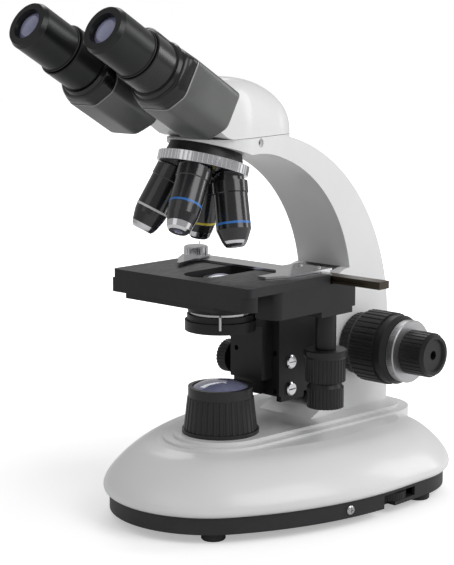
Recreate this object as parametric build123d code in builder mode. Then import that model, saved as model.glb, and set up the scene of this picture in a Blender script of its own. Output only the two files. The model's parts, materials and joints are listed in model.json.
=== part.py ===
"""Compound microscope: lit base, curved arm, coaxial stage, revolving nosepiece and binocular head."""

import os
from math import atan2, cos, degrees, radians, sin, sqrt

from build123d import *

os.makedirs("parts", exist_ok=True)

# All sizes in mm. X runs to the user's right, Y to the rear and Z up from the bench.
# Heights are above the bench, and rearward distances are from the optical axis.
axis_y = -12.0  # the optical axis stands this far in front of the middle of the footprint

# Clearances
running = 0.3  # between faces that slide past each other
shaft_fit = 0.05  # on the radius of a pin or shaft in its bore

# Base
base_half = 98.5
base_nose = -82.5
base_nose_r = 72.0
base_wide_y = 78.0
base_rear = 170.0
base_corner_r = 62.0
shell_profile = [(18, 3), (22, 0), (29, 2.5), (37, 9), (44, 17), (49, 26), (51.5, 36)]
cavity_profile = [(18, 6.5), (29, 7), (37, 15), (42, 24), (45, 32)]
shell_foot = shell_profile[0][0]
cavity_top = cavity_profile[-1][0]
deck_z = 55.5
ledge_z = 53.2
ledge_out = 7.0
deck_from = 40.0
deck_front_r = 32.0
deck_rear_r = 22.0
deck_rear_y = 136.0
deck_rear_x = 20.0
foot_z = 6.5
foot_r = 8.0
foot_places = [(-39.6, -48.7), (39.6, -48.7), (-82, 114.6), (82, 114.6)]
tray_inset = 4.0
tray_wall = 2.5
screw_places = [(-58, 15), (58, 15), (-58, 128), (58, 128)]
screw_r = 1.8
post_r = 5.0

# Lamp
lamp_flange_r = 26.2
lamp_flange = 2.5
lamp_low_r = 25.0
lamp_high_r = 22.5
lamp_flutes_z = 80.0
lamp_top_z = 87.0
lamp_bore = 16.0
field_lens_r = 19.0
field_lens_z = 84.0
led_r = 17.8
led_z = 50.0

# Arm
arm_half = 24.0
arm_back = 152.0
arm_outer_z = 115.0
arm_outer_r = 142.8
arm_inner = (4.1, 140.0)
arm_inner_r = 104.9
seam_z = 255.5
nose_r = 31.0
nose_y = -6.0
crown_r = 24.0
crown_y = 33.0
cheek_top = 158.0
cheek_front = 82.0
cheek_r = 26.0
slot_half = 16.0
slot_back = 125.0
slot_floor = 61.0
socket_r = 14.0
socket_z = 249.6
light_r = 6.2

# Nosepiece and objectives
tilt = 16.5  # lean of the nosepiece, degrees
seat_y = -18.2
seat_z = 232.0
seat_ring_r = 19.0
disc_r = 30.3
mount_low = 10.3
mount_high = 16.8
mount_r = 24.0
pivot_r = 4.1
thread_r = 9.5

# Focus drive
focus_y = 117.6
focus_z = 102.5
coarse_r = 25.5
coarse_shaft_r = 5.0
fine_r = 15.5
fine_shaft_r = 2.4
bush_r = 8.0
pinion_r = 6.8
collar_r = 22.0

# Stage
stage_z = 165.0
slab = 6.0
stage_half = 62.5
stage_front = -40.0
stage_rear = 41.5
skirt_z = 149.3
skirt = 3.4
plate_z = 145.0
plate_top = skirt_z - running
coax_x = 52.5
coax_y = 47.5
block_left = 44.0
bracket_half = 21.0
bracket_front = 36.0
bracket_rear = 76.0
guide_half = 9.0
guide_front = 31.0
rail_z = 159.0
rail_top = 164.0
holder_z = stage_z + running
holder_thick = 1.5
finger_x = -50.0
finger_y = 28.0

# Condenser
carrier_low = 88.0
carrier_high = 137.0
condenser_r = 20.0
condenser_low = 126.5
condenser_knob_z = 97.0
condenser_knob_y = 42.0

# Binocular head
eye_slope = 30.0  # degrees above level
eye_x = 31.7
rim_y = -133.0
rim_z = 327.0
diopter_out = 4.4  # the left eyepiece stands this much further out
hinge_up = 16.0  # the folding axis above the eyepiece axes
housing_end = 124.6
cap_end = 76.0
cap_start = 51.0
eyepiece_r = 15.5
barrel_r = 17.3
spigot_r = 11.6
knuckle_r = 15.4
hinge_r = 9.0


def level(z):
    """Level plane at a height, on the optical axis."""
    return Plane((0, axis_y, z))


def side(x):
    """Upright plane across X, its sketch x to the rear and its y up."""
    return Plane((x, axis_y, 0), x_dir=(0, 1, 0), z_dir=(1, 0, 0))


def upright(x, y, z):
    """Level plane with its origin on a vertical axis."""
    return Plane((x, axis_y + y, z))


def cross(x, y, z):
    """Plane on an axis that runs to the right."""
    return Plane((x, axis_y + y, z), x_dir=(0, 1, 0), z_dir=(1, 0, 0))


def turned(base, outline, mode=Mode.ADD):
    """Turn a closed outline of (radius, height) points about the z axis of a plane."""
    with BuildSketch(Plane(base.origin, x_dir=base.x_dir, z_dir=-base.y_dir)) as profile:
        with BuildLine():
            Polyline(*outline, close=True)
        make_face()
    revolve(profile.sketch, axis=Axis(base.origin, base.z_dir), mode=mode)


def bored(base, r, depth, mode=Mode.SUBTRACT):
    """Round bore, or with another mode a round bar, from a plane along its z axis."""
    with BuildSketch(base) as disc:
        Circle(r)
    extrude(disc.sketch, amount=depth, mode=mode)


def block(x, y, z, mode=Mode.ADD):
    """Box between pairs of limits, with y measured from the optical axis."""
    with BuildSketch(level(z[0])) as floor:
        with Locations(((x[0] + x[1]) / 2, (y[0] + y[1]) / 2)):
            Rectangle(x[1] - x[0], y[1] - y[0])
    extrude(floor.sketch, amount=z[1] - z[0], mode=mode)


def fluted(base, r, count, groove_r, depth):
    """Round bar with grooves along it, started on a plane."""
    with BuildSketch(base) as star:
        Circle(r)
        with PolarLocations(r + groove_r * 0.45, count):
            Circle(groove_r, mode=Mode.SUBTRACT)
    extrude(star.sketch, amount=depth)


# Base

flank_r = (base_half**2 + (base_wide_y - base_nose - base_nose_r) ** 2 - base_nose_r**2) / (
    2 * (base_half - base_nose_r)
)
nose_centre_y = base_nose + base_nose_r
flank_angle = degrees(atan2(base_wide_y - nose_centre_y, flank_r - base_half))


def base_plan(inset):
    """Plan of the base moved inwards: nose arc, flank arcs, straight backs and rear corners."""
    corner_x = base_half - base_corner_r
    corner_y = base_rear - base_corner_r
    with BuildLine() as outline:
        CenterArc((0, nose_centre_y), base_nose_r - inset, flank_angle - 180, 180 - 2 * flank_angle)
        for way in (1, -1):
            start = -flank_angle if way > 0 else 180
            CenterArc((way * (base_half - flank_r), base_wide_y), flank_r - inset, start, flank_angle)
            Line((way * (base_half - inset), base_wide_y), (way * (base_half - inset), corner_y))
            CenterArc((way * corner_x, corner_y), base_corner_r - inset, 0 if way > 0 else 90, 90)
        Line((corner_x, base_rear - inset), (-corner_x, base_rear - inset))
    make_face(outline.edges())


def deck_plan(out):
    """Plan of the raised deck: round about the lamp and wider behind the arm."""
    Circle(deck_front_r + out)
    with Locations((deck_rear_x, deck_rear_y), (-deck_rear_x, deck_rear_y)):
        Circle(deck_rear_r + out)
    make_hull()


def lofted(profile, ruled, mode=Mode.ADD):
    """Solid through the base plans of a profile of (height, inset)."""
    plans = []
    for height, inset in profile:
        with BuildSketch(level(height)) as plan:
            base_plan(inset)
        plans.append(plan.sketch)
    loft(plans, ruled=ruled, mode=mode)


with BuildPart() as base_shell:
    lofted(shell_profile, False)
    for top, out in ((ledge_z, ledge_out), (deck_z, 0)):
        with BuildSketch(level(deck_from)):
            deck_plan(out)
        extrude(amount=top - deck_from)
    lofted(cavity_profile, True, Mode.SUBTRACT)
    bored(level(cavity_top), 14, deck_z - cavity_top)
    bored(level(led_z), led_r + 0.2, deck_z - led_z)
    for x, y in screw_places:
        bored(upright(x, y, foot_z + tray_wall), post_r, cavity_top - foot_z, Mode.ADD)
        bored(upright(x, y, foot_z + tray_wall), screw_r + shaft_fit, 14)
base_shell.part.label = "base_shell"
export_step(base_shell.part, "parts/base_shell.step")

dial_x = 80.5
dial_y = 77.5
dial_r = 15.0
inlet_x = -30.0
side_screw = (30.0, 12.0)
wall_r = flank_r - tray_inset
side_angle = degrees(atan2(base_wide_y - side_screw[0], sqrt(wall_r**2 - (base_wide_y - side_screw[0]) ** 2)))
side_screw_plane = Plane(
    (
        base_half - flank_r + wall_r * cos(radians(side_angle)),
        axis_y + side_screw[0],
        side_screw[1],
    ),
    z_dir=(cos(radians(side_angle)), -sin(radians(side_angle)), 0),
)

with BuildPart() as base_tray:
    with BuildSketch(level(foot_z)):
        base_plan(tray_inset)
    extrude(amount=shell_foot - foot_z)
    with BuildSketch(level(foot_z + tray_wall)):
        base_plan(tray_inset + tray_wall)
    extrude(amount=shell_foot - foot_z, mode=Mode.SUBTRACT)
    for x, y in screw_places:
        bored(upright(x, y, foot_z), screw_r + 0.2, tray_wall)
    for x, y in foot_places:
        bored(upright(x, y, foot_z), 3 + shaft_fit, tray_wall)
    # window for the brightness dial, with a notch below it and a post inside
    block((88, 100), (61, 94), (9.3, 15.6), Mode.SUBTRACT)
    block((88, 100), (61, 72), (foot_z, 9.3), Mode.SUBTRACT)
    bored(upright(dial_x, dial_y, foot_z + tray_wall), 3, 7.5, Mode.ADD)
    block((inlet_x - 4.6, inlet_x + 4.6), (160, 170), (foot_z + tray_wall, 17), Mode.SUBTRACT)
    bored(side_screw_plane.offset(-3), 1.6, 4)
base_tray.part.label = "base_tray"
export_step(base_tray.part, "parts/base_tray.step")

with BuildPart() as rubber_feet:
    for x, y in foot_places:
        turned(
            upright(x, y, 0),
            [(0, 0), (foot_r - 0.8, 0), (foot_r, 0.8), (foot_r, foot_z), (3, foot_z), (3, 9), (0, 9)],
        )
rubber_feet.part.label = "rubber_feet"
export_step(rubber_feet.part, "parts/rubber_feet.step")


def domed(base, r, low, edge, top):
    """Lens turned about the z axis of a plane, with a round dome between its edge and its top."""
    dome_r = (r**2 + (top - edge) ** 2) / (2 * (top - edge))
    edge_angle = degrees(atan2(edge - top + dome_r, r))
    with BuildSketch(Plane(base.origin, x_dir=base.x_dir, z_dir=-base.y_dir)) as profile:
        with BuildLine():
            Polyline((0, top), (0, low), (r, low), (r, edge))
            CenterArc((0, top - dome_r), dome_r, edge_angle, 90 - edge_angle)
        make_face()
    revolve(profile.sketch, axis=Axis(base.origin, base.z_dir))


def pan_screw(base, length, r, cross_slot=True):
    """Pan head screw with its seat on a plane and its head along the plane's z."""
    turned(
        base,
        [(0, -length), (r, -length), (r, 0), (2 * r, 0), (2 * r, 0.5 * r), (1.5 * r, 0.95 * r), (0, 0.95 * r)],
    )
    if cross_slot:
        with BuildSketch(base.offset(0.45 * r)) as cross_shape:
            Rectangle(2.2 * r, 0.45 * r)
            Rectangle(0.45 * r, 2.2 * r)
        extrude(cross_shape.sketch, amount=r, mode=Mode.SUBTRACT)


with BuildPart() as base_screws:
    for x, y in screw_places:
        pan_screw(Plane((x, axis_y + y, foot_z), z_dir=(0, 0, -1)), 14, screw_r)
    pan_screw(side_screw_plane, 6, 1.55)
base_screws.part.label = "base_screws"
export_step(base_screws.part, "parts/base_screws.step")

with BuildPart() as brightness_dial:
    fluted(upright(dial_x, dial_y, 9.8), dial_r, 48, 0.7, 5.2)
    bored(upright(dial_x, dial_y, 9.8), 3 + shaft_fit, 5.2)
brightness_dial.part.label = "brightness_dial"
export_step(brightness_dial.part, "parts/brightness_dial.step")

with BuildPart() as power_inlet:
    block((inlet_x - 4.5, inlet_x + 4.5), (153, 166.6), (foot_z + tray_wall, 16.9))
    inlet = Plane((inlet_x, axis_y + 166.6, 13), z_dir=(0, -1, 0))
    bored(inlet, 3, 9.5)
    bored(inlet.offset(1), 1, 8.5, Mode.ADD)
power_inlet.part.label = "power_inlet"
export_step(power_inlet.part, "parts/power_inlet.step")

# Lamp

with BuildPart() as lamp_housing:
    turned(level(deck_z), [(0, 0), (lamp_flange_r, 0), (lamp_flange_r, lamp_flange), (0, lamp_flange)])
    for height, r in ((deck_z + lamp_flange, lamp_low_r), (lamp_flutes_z, lamp_high_r)):
        with BuildSketch(level(height)):
            Circle(r)
            with PolarLocations(r + 0.5, 36):
                Circle(1.2, mode=Mode.SUBTRACT)
    loft(ruled=True)
    bored(level(lamp_flutes_z), field_lens_r + 3, lamp_top_z - lamp_flutes_z, Mode.ADD)
    bored(level(deck_z), lamp_bore, lamp_top_z - deck_z)
    bored(level(field_lens_z), field_lens_r + 0.1, lamp_top_z - field_lens_z)
lamp_housing.part.label = "lamp_housing"
export_step(lamp_housing.part, "parts/lamp_housing.step")

with BuildPart() as field_lens:
    domed(level(0), field_lens_r, field_lens_z, lamp_top_z - 0.8, lamp_top_z + 4)
field_lens.part.label = "field_lens"
export_step(field_lens.part, "parts/field_lens.step")

with BuildPart() as led_module:
    turned(
        level(0),
        [(0, 34), (6, 34), (6, 40), (13.6, 40), (13.6, led_z), (led_r, led_z), (led_r, 52), (6, 52), (3.5, 54.5), (0, 55)],
    )
    for height in (41.5, 44.5, 47.5):
        turned(level(height), [(7, 0), (14, 0), (14, 1.5), (7, 1.5)], Mode.SUBTRACT)
led_module.part.label = "led_module"
export_step(led_module.part, "parts/led_module.step")

# Arm


def crown_plan():
    """Plan of the arm's nose and of the head base on it."""
    with Locations((0, nose_y)):
        Circle(nose_r)
    with Locations((0, crown_y)):
        Circle(crown_r)
    make_hull()


up_y = sin(radians(tilt))
up_z = cos(radians(tilt))
turret = Plane((0, axis_y + seat_y, seat_z), x_dir=(1, 0, 0), z_dir=(0, up_y, up_z))
arm_end = (arm_inner[0] + sqrt(arm_inner_r**2 - (cheek_top - arm_inner[1]) ** 2), cheek_top)
arm_outer_y = arm_back - arm_outer_r
outer_angle = degrees(atan2(seam_z - arm_outer_z, sqrt(arm_outer_r**2 - (seam_z - arm_outer_z) ** 2)))
inner_angle = degrees(atan2(cheek_top - arm_inner[1], arm_end[0] - arm_inner[0]))
inner_top = (arm_inner[0], arm_inner[1] + arm_inner_r)
nose_back = -18.0
lock_y = 8.0
lock_z = 251.9

with BuildPart() as arm:
    # nose and crown, cut by the leaning face that carries the nosepiece and by the bow below
    with BuildSketch(level(seam_z - 30)):
        crown_plan()
    extrude(amount=30)
    split(bisect_by=turret.offset(mount_high), keep=Keep.TOP)
    bored(cross(-60, *arm_inner), arm_inner_r, 120)
    # bow and cheeks
    with BuildSketch(side(-arm_half)):
        with BuildLine():
            Line((arm_back, deck_z), (arm_back, arm_outer_z))
            CenterArc((arm_outer_y, arm_outer_z), arm_outer_r, 0, outer_angle)
            bow_end = (arm_outer_y + arm_outer_r * cos(radians(outer_angle)), seam_z)
            Polyline(bow_end, (nose_back, seam_z), (nose_back, socket_z), inner_top)
            CenterArc(arm_inner, arm_inner_r, inner_angle, 90 - inner_angle)
            Line(arm_end, (cheek_front + cheek_r, cheek_top))
            CenterArc((cheek_front + cheek_r, cheek_top - cheek_r), cheek_r, 90, 90)
            Polyline(
                (cheek_front, cheek_top - cheek_r), (80, 62), (66, deck_z), (arm_back, deck_z)
            )
        make_face()
    extrude(amount=2 * arm_half)
    # round pad that the nosepiece seats on
    bored(turret.offset(mount_high), mount_r + 2, 9, Mode.ADD)
    split(bisect_by=level(seam_z), keep=Keep.BOTTOM)
    block((-slot_half, slot_half), (60, slot_back), (slot_floor, cheek_top), Mode.SUBTRACT)
    bored(cross(-30, focus_y, focus_z), bush_r, 60)
    bored(level(socket_z), socket_r, 10)
    bored(level(225), light_r, 30)
    bored(cross(0, lock_y, lock_z), 1.9, 40)
    bored(cross(26.8, lock_y, lock_z), 3, 10)
arm.part.label = "arm"
export_step(arm.part, "parts/arm.step")

with BuildPart() as shaft_bushes:
    for x in (-25, slot_half):
        turned(
            cross(x, focus_y, focus_z),
            [(coarse_shaft_r + shaft_fit, 0), (bush_r, 0), (bush_r, 9), (coarse_shaft_r + shaft_fit, 9)],
        )
shaft_bushes.part.label = "shaft_bushes"
export_step(shaft_bushes.part, "parts/shaft_bushes.step")

slide_half = 10.7
slide_back = 107.0
guide_y = (88.0, 106.0)

with BuildPart() as focus_guides:
    for way in (-1, 1):
        with BuildSketch(Plane((0, axis_y, 62))):
            with BuildLine():
                Polyline(
                    (way * slot_half, guide_y[0]),
                    (way * 11, guide_y[0]),
                    (way * 11, 94),
                    (way * 9, 96),
                    (way * 9, 98),
                    (way * 11, 100),
                    (way * 11, guide_y[1]),
                    (way * slot_half, guide_y[1]),
                    close=True,
                )
            make_face()
        extrude(amount=94)
focus_guides.part.label = "focus_guides"
export_step(focus_guides.part, "parts/focus_guides.step")

with BuildPart() as nosepiece_mount:
    turned(turret, [(0, mount_low), (mount_r + 2, mount_low), (mount_r, mount_high), (0, mount_high)])
    bored(turret.offset(-6), pivot_r, mount_low + 6, Mode.ADD)
    bored(turret.offset(-5.6), 7, 2, Mode.ADD)
    bored(level(225), light_r, 30)
nosepiece_mount.part.label = "nosepiece_mount"
export_step(nosepiece_mount.part, "parts/nosepiece_mount.step")

with BuildPart() as head_lock_screw:
    bored(cross(12.2, lock_y, lock_z), 1.8, 14.4, Mode.ADD)
    with BuildSketch(cross(26.6, lock_y, lock_z)):
        RegularPolygon(1.1, 6)
    extrude(amount=-2.5, mode=Mode.SUBTRACT)
head_lock_screw.part.label = "head_lock_screw"
export_step(head_lock_screw.part, "parts/head_lock_screw.step")

# Focus drive

with BuildPart() as tension_ring:
    fluted(cross(25.3, focus_y, focus_z), collar_r, 40, 0.8, 8)
    bored(cross(25.3, focus_y, focus_z), coarse_shaft_r + shaft_fit, 8)
tension_ring.part.label = "tension_ring"
export_step(tension_ring.part, "parts/tension_ring.step")

knob_start = 33.6
knob_end = 66.0
scale_end = 72.0

with BuildPart() as coarse_knobs:
    for way in (1, -1):
        hub = Plane((way * knob_start, axis_y + focus_y, focus_z), x_dir=(0, 1, 0), z_dir=(way, 0, 0))
        turned(hub, [(0, 0), (coarse_r - 1.5, 0), (coarse_r - 0.8, 2), (coarse_r - 0.8, 2.4), (0, 2.4)])
        fluted(hub.offset(2.4), coarse_r, 36, 1.1, 20)
        turned(hub.offset(22.4), [(0, 0), (coarse_r - 1.2, 0), (coarse_r - 1.2, 6), (22.4, 10), (0, 10)])
        bored(hub, coarse_shaft_r, 40)
        bored(hub.offset(24), fine_r - 3, 20)
coarse_knobs.part.label = "coarse_knobs"
export_step(coarse_knobs.part, "parts/coarse_knobs.step")

with BuildPart() as coarse_shaft:
    tube = cross(-57.6, focus_y, focus_z)
    bored(tube, coarse_shaft_r, 115.2, Mode.ADD)
    fluted(cross(-6, focus_y, focus_z), pinion_r, 16, 0.8, 12)
    bored(tube, fine_shaft_r + shaft_fit, 115.2)
coarse_shaft.part.label = "coarse_shaft"
export_step(coarse_shaft.part, "parts/coarse_shaft.step")

with BuildPart() as fine_scales:
    for way in (1, -1):
        hub = Plane((way * (knob_end + running), axis_y + focus_y, focus_z), x_dir=(0, 1, 0), z_dir=(way, 0, 0))
        turned(hub, [(fine_r - 1, 0), (22, 0), (22, 5), (21.4, 5.7), (fine_r - 1, 5.7)])
fine_scales.part.label = "fine_scales"
export_step(fine_scales.part, "parts/fine_scales.step")

with BuildPart() as fine_knobs:
    for way in (1, -1):
        hub = Plane((way * (knob_end + running), axis_y + focus_y, focus_z), x_dir=(0, 1, 0), z_dir=(way, 0, 0))
        bored(hub, fine_r - 1, 5.7, Mode.ADD)
        fluted(hub.offset(5.7), fine_r, 30, 0.8, 17.5)
        turned(hub.offset(23.2), [(0, 0), (fine_r - 0.7, 0), (fine_r - 1.8, 2.8), (11.5, 2.8), (10.5, 1), (0, 1)])
        bored(hub.offset(12), 3.2, 20)
        bored(hub, fine_shaft_r, 13)
fine_knobs.part.label = "fine_knobs"
export_step(fine_knobs.part, "parts/fine_knobs.step")

with BuildPart() as fine_shaft:
    bored(cross(-78.3, focus_y, focus_z), fine_shaft_r, 156.6, Mode.ADD)
fine_shaft.part.label = "fine_shaft"
export_step(fine_shaft.part, "parts/fine_shaft.step")

# Stage bracket, which the focus raises and lowers

pinion_window = (-15, -9.5)

with BuildPart() as stage_bracket:
    block((-bracket_half, bracket_half), (bracket_front, bracket_rear), (76, plate_z))
    block((17, bracket_half), (38, 62), (72, 76))
    with BuildSketch(level(77)):
        with BuildLine():
            Polyline(
                (-guide_half, guide_front), (guide_half, guide_front), (guide_half - 2, bracket_front + 1),
                (2 - guide_half, bracket_front + 1), close=True,
            )
        make_face()
    extrude(amount=63)
    block((-15, 15), (44, 68), (76, 139), Mode.SUBTRACT)
    block(pinion_window, (30, 50), (89, 105), Mode.SUBTRACT)
    bored(cross(-30, condenser_knob_y, condenser_knob_z), 3 + shaft_fit, 20)
    for z in (80, 99):
        bored(cross(17, 47.8, z), 2.6, 10)
    for z in (79, 106):
        bored(Plane((17, axis_y + bracket_front, z), z_dir=(0, 1, 0)), 1.8, 5)
stage_bracket.part.label = "stage_bracket"
export_step(stage_bracket.part, "parts/stage_bracket.step")

with BuildPart() as bracket_screws:
    for z in (80, 99):
        turned(cross(17, 47.8, z), [(0, 0), (2.55, 0), (2.55, 4), (4.8, 4), (4.8, 5.4), (4, 6), (0, 6)])
        with BuildSketch(cross(21.8, 47.8, z)):
            Rectangle(7, 1)
        extrude(amount=3, mode=Mode.SUBTRACT)
bracket_screws.part.label = "bracket_screws"
export_step(bracket_screws.part, "parts/bracket_screws.step")

with BuildPart() as focus_slide:
    block((-slide_half, slide_half), (bracket_rear, slide_back), (80, 140))
    for way in (-1, 1):
        with BuildSketch(level(80)):
            with BuildLine():
                Polyline(
                    (way * 12, 93.2), (way * slide_half, 93.2), (way * 8.7, 95.4),
                    (way * 8.7, 98.6), (way * slide_half, 100.8), (way * 12, 100.8), close=True,
                )
            make_face()
        extrude(amount=60, mode=Mode.SUBTRACT)
    # rack that the coarse pinion drives
    block((-5, 5), (slide_back, 110.4), (80, 140))
    with BuildSketch(side(-5)):
        with GridLocations(1, 2.4, 1, 25):
            with Locations((110.4, 110)):
                Rectangle(2, 1.2)
    extrude(amount=10, mode=Mode.SUBTRACT)
focus_slide.part.label = "focus_slide"
export_step(focus_slide.part, "parts/focus_slide.step")

guide_rails = [(-34, -26), (18, 26)]

with BuildPart() as stage_base:
    block((-54, 28), (-36, 64), (plate_z, plate_top))
    for rail in guide_rails:
        block(rail, (-20, 22), (plate_top, 155))
    bored(level(plate_z), condenser_r + 4.5, 5)
stage_base.part.label = "stage_base"
export_step(stage_base.part, "parts/stage_base.step")

# Stage top, which moves to the front and the rear

with BuildPart() as stage_top:
    with BuildSketch(level(stage_z - slab)):
        with Locations((0, (stage_front + stage_rear) / 2)):
            RectangleRounded(2 * stage_half, stage_rear - stage_front, 3)
    extrude(amount=slab)
    with BuildSketch(level(skirt_z)):
        with BuildLine():
            corner = 8.0
            Polyline(
                (-stage_half, stage_rear - 3), (-stage_half, stage_front), (stage_half - corner, stage_front)
            )
            CenterArc((stage_half - corner, stage_front + corner), corner, -90, 90)
            Polyline(
                (stage_half, stage_front + corner),
                (stage_half - skirt, stage_front + corner),
                (stage_half - 12, stage_front + skirt),
                (skirt - stage_half, stage_front + skirt),
                (skirt - stage_half, stage_rear - 3),
                (-stage_half, stage_rear - 3),
            )
        make_face()
    extrude(amount=stage_z - slab - skirt_z)
    for left, right in ((-38, -34.3), (26.3, 30)):
        block((left, right), (stage_front + skirt, 38), (150, stage_z - slab))
    # slot for the condenser over the whole travel
    with BuildSketch(level(skirt_z)):
        SlotOverall(58, 27, rotation=90)
    extrude(amount=20, mode=Mode.SUBTRACT)
stage_top.part.label = "stage_top"
export_step(stage_top.part, "parts/stage_top.step")

rack_y = (42.0, 52.0)
rack_x = (-48.0, 101.5)

with BuildPart() as coaxial_block:
    with BuildSketch(level(141)):
        with BuildLine():
            Polyline((block_left, -14), (stage_half - 6, -14))
            CenterArc((stage_half - 6, -8), 6, -90, 90)
            Polyline((stage_half, -8), (stage_half, 66), (block_left, 66), (block_left, -14))
        make_face()
    extrude(amount=stage_z - slab - running - 141)
    block((block_left, stage_half), (-8, stage_rear - 3), (150, stage_z - slab))
    block((block_left, stage_half), (31, 63), (137, 141))
    block((block_left, stage_half), (rack_y[1] + running, 57), (150, 163))
    bored(upright(coax_x, coax_y, 113), 7, 26, Mode.ADD)
    bored(upright(coax_x, coax_y, 113), 4.5 + shaft_fit, 40)
    block((block_left, 60), (50.2, 56), (141, 156), Mode.SUBTRACT)
coaxial_block.part.label = "coaxial_block"
export_step(coaxial_block.part, "parts/coaxial_block.step")

with BuildPart() as stage_knob_upper:
    knob = upright(coax_x, coax_y, 91)
    fluted(knob, 13.6, 30, 0.9, 16)
    turned(knob.offset(16), [(0, 0), (14, 0), (14.7, 1.5), (14.7, 5), (14, 5.6), (0, 5.6)])
    bored(knob, 4.5, 60, Mode.ADD)
    bored(knob, 2.4 + shaft_fit, 60)
stage_knob_upper.part.label = "stage_knob_upper"
export_step(stage_knob_upper.part, "parts/stage_knob_upper.step")

with BuildPart() as stage_knob_lower:
    knob = upright(coax_x, coax_y, 73)
    fluted(knob, 12.5, 30, 0.9, 14)
    turned(knob.offset(14), [(0, 0), (11.8, 0), (10.5, 3.7), (0, 3.7)])
    bored(knob, 2.4, 80, Mode.ADD)
stage_knob_lower.part.label = "stage_knob_lower"
export_step(stage_knob_lower.part, "parts/stage_knob_lower.step")

# Slide holder, which moves from side to side

with BuildPart() as rack_bar:
    block(rack_x, rack_y, (rail_z, rail_top))
    block((rack_x[0], rack_x[1] - 12), (rack_y[0], rack_y[0] + 1.5), (rail_z + 1.4, rail_top - 1.4), Mode.SUBTRACT)
    for x in (28, 44):
        bored(upright(x, 48, rail_z), 1.25, 5)
rack_bar.part.label = "rack_bar"
export_step(rack_bar.part, "parts/rack_bar.step")

holder_top = holder_z + holder_thick

with BuildPart() as slide_holder:
    with BuildSketch(level(holder_z)):
        with BuildLine():
            Polyline(
                (-58, 24), (-58, 36), (-54, 40), (20, 40), (20, 54), (52, 54), (52, 12), (45, -5),
                (38, -5), (38, 13), (30, 22), (-38, 22), (-44, 20), (-56, 20), close=True,
            )
        make_face()
    extrude(amount=holder_thick)
    block((20, 52), (rack_y[0] + 1, rack_y[1]), (rail_top, holder_z))
    bored(upright(finger_x, finger_y, holder_z), 2 + shaft_fit, 3)
    for x in (28, 44):
        bored(upright(x, 48, rail_top), 1.25, 5)
slide_holder.part.label = "slide_holder"
export_step(slide_holder.part, "parts/slide_holder.step")

with BuildPart() as holder_screws:
    for x in (28, 44):
        pan_screw(upright(x, 48, holder_top), 6, 1.2)
holder_screws.part.label = "holder_screws"
export_step(holder_screws.part, "parts/holder_screws.step")

finger_z = holder_top + running

with BuildPart() as spring_finger:
    with BuildSketch(level(finger_z)):
        with Locations((finger_x, finger_y)):
            Circle(10.2)
        with Locations((-44, 12)):
            Circle(6)
        make_hull()
        with BuildLine():
            Polyline((-50, 12), (-35, -6), (-33, -5), (-38, 14), close=True)
        make_face()
    extrude(amount=1)
    bored(upright(finger_x, finger_y, finger_z - 1.6), 2, 1.6, Mode.ADD)
    handle = Plane((-55.9, axis_y + 35.1, finger_z + 0.6), z_dir=(-0.62, 0.74, 0.25))
    bored(handle, 0.9, 22, Mode.ADD)
spring_finger.part.label = "spring_finger"
export_step(spring_finger.part, "parts/spring_finger.step")

with BuildPart() as finger_knob:
    fluted(upright(finger_x, finger_y, finger_z + 1), 8.5, 32, 0.6, 6)
    turned(upright(finger_x, finger_y, finger_z + 7), [(0, 0), (8.2, 0), (7.6, 0.7), (0, 0.7)])
finger_knob.part.label = "finger_knob"
export_step(finger_knob.part, "parts/finger_knob.step")

# Condenser

with BuildPart() as condenser_carrier:
    block((-14.5, 14.5), (25.5, bracket_front - running), (carrier_low, carrier_high))
    with BuildSketch(level(126)):
        Circle(24)
        with Locations((0, 22)):
            Rectangle(29, 12)
    extrude(amount=7)
    with BuildSketch(level(carrier_low)):
        with BuildLine():
            Polyline(
                (-guide_half - running, guide_front - running),
                (guide_half + running, guide_front - running),
                (guide_half + running - 2.2, 38),
                (2.2 - guide_half - running, 38),
                close=True,
            )
        make_face()
    extrude(amount=60, mode=Mode.SUBTRACT)
    bored(level(120), condenser_r + shaft_fit, 30)
    bored(Plane((-9, axis_y + 25.5, 108), z_dir=(0, 1, 0)), 1.8, 3)
condenser_carrier.part.label = "condenser_carrier"
export_step(condenser_carrier.part, "parts/condenser_carrier.step")

with BuildPart() as condenser_body:
    turned(
        level(0),
        [
            (12, condenser_low), (condenser_r, condenser_low), (condenser_r, 133), (22.5, 133), (22.5, 137),
            (18.3, 137), (18.3, 139), (22, 139), (22, 143.5), (19, 146), (12.5, 147.5), (11.5, 161.5),
            (9.2, 161.5), (9.2, 158), (8, 158), (8, 150), (12, 140),
        ],
    )
condenser_body.part.label = "condenser_body"
export_step(condenser_body.part, "parts/condenser_body.step")

with BuildPart() as condenser_lens:
    domed(level(0), 9.15, 158, 161.5, 163.5)
condenser_lens.part.label = "condenser_lens"
export_step(condenser_lens.part, "parts/condenser_lens.step")

lever_way = -47.0  # bearing of the iris lever from the right, degrees
lever_x = cos(radians(lever_way))
lever_y = sin(radians(lever_way))

with BuildPart() as iris_lever:
    turned(level(137.3), [(18.3 + shaft_fit, 0), (20.6, 0), (20.6, 1.4), (18.3 + shaft_fit, 1.4)])
    bored(Plane((19.5 * lever_x, axis_y + 19.5 * lever_y, 138), z_dir=(lever_x, lever_y, 0)), 0.65, 7, Mode.ADD)
    bored(Plane((25.6 * lever_x, axis_y + 25.6 * lever_y, 138.6), z_dir=(0, 0, -1)), 0.9, 9, Mode.ADD)
iris_lever.part.label = "iris_lever"
export_step(iris_lever.part, "parts/iris_lever.step")

with BuildPart() as condenser_knob:
    fluted(cross(-33, condenser_knob_y, condenser_knob_z), 11.5, 28, 0.8, 8)
    bored(cross(-33, condenser_knob_y, condenser_knob_z), 3, 23.2, Mode.ADD)
    fluted(cross(-14, condenser_knob_y, condenser_knob_z), 6, 14, 0.7, 4.2)
condenser_knob.part.label = "condenser_knob"
export_step(condenser_knob.part, "parts/condenser_knob.step")

# Nosepiece disc and objectives


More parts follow.
